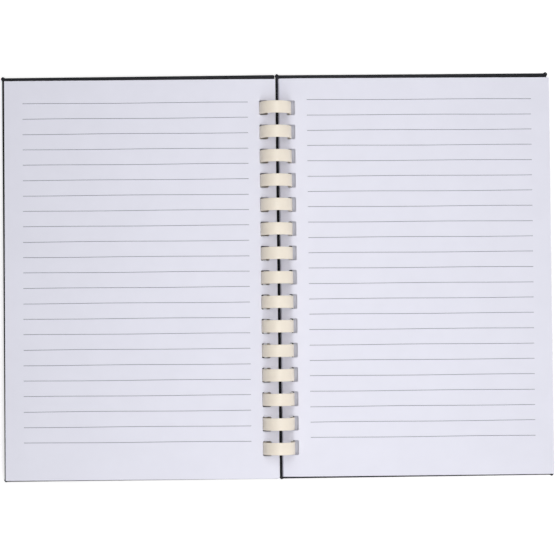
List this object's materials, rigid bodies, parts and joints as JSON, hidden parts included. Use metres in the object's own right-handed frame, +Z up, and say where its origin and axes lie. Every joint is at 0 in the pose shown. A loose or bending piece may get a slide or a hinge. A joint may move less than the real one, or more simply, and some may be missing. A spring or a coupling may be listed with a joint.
{
  "type": "comb-bound notebook",
  "caption": "Ruled notebook lying open, its pages and black wrapped board covers held on a cream plastic comb binding.",
  "frame": {"origin": "middle of the open notebook's footprint, on the surface it lies on", "axes": "+X to the reader's right, +Y towards the head of the pages, +Z up out of the pages"},
  "size_m": [0.3256, 0.2404, 0.019],
  "materials": {
    "comb_plastic": "cream plastic, soft gloss",
    "cover_wrap": "black grained book cloth",
    "cover_board": "grey-brown binder's board",
    "cover_lining": "matte black lining paper",
    "page_paper": "uncoated white paper",
    "ruling_ink": "pale grey printed lines"
  },
  "bodies": {
    "comb": {"comb_binding": "comb_plastic"},
    "front_cover": {"front_wrap": "cover_wrap", "front_board": "cover_board", "front_lining": "cover_lining"},
    "turned_pages": {"left_pages": "page_paper", "left_ruling": "ruling_ink"},
    "back_cover": {"back_wrap": "cover_wrap", "back_board": "cover_board", "back_lining": "cover_lining"},
    "unturned_pages": {"right_pages": "page_paper", "right_ruling": "ruling_ink"}
  },
  "joints": [
    {"name": "front_cover_hinge", "type": "hinge", "parent": "comb", "child": "front_cover", "pos_m": [-0.00006, 0, 0.0095], "axis": [0, 1, 0], "range_deg": [0, 180]},
    {"name": "turned_pages_hinge", "type": "hinge", "parent": "front_cover", "child": "turned_pages", "pos_m": [-0.00006, 0, 0.0095], "axis": [0, 1, 0], "range_deg": [0, 180]},
    {"name": "back_cover_hinge", "type": "hinge", "parent": "comb", "child": "back_cover", "pos_m": [-0.00006, 0, 0.0095], "axis": [0, -1, 0], "range_deg": [0, 180]},
    {"name": "unturned_pages_hinge", "type": "hinge", "parent": "back_cover", "child": "unturned_pages", "pos_m": [-0.00006, 0, 0.0095], "axis": [0, -1, 0], "range_deg": [0, 180]}
  ]
}
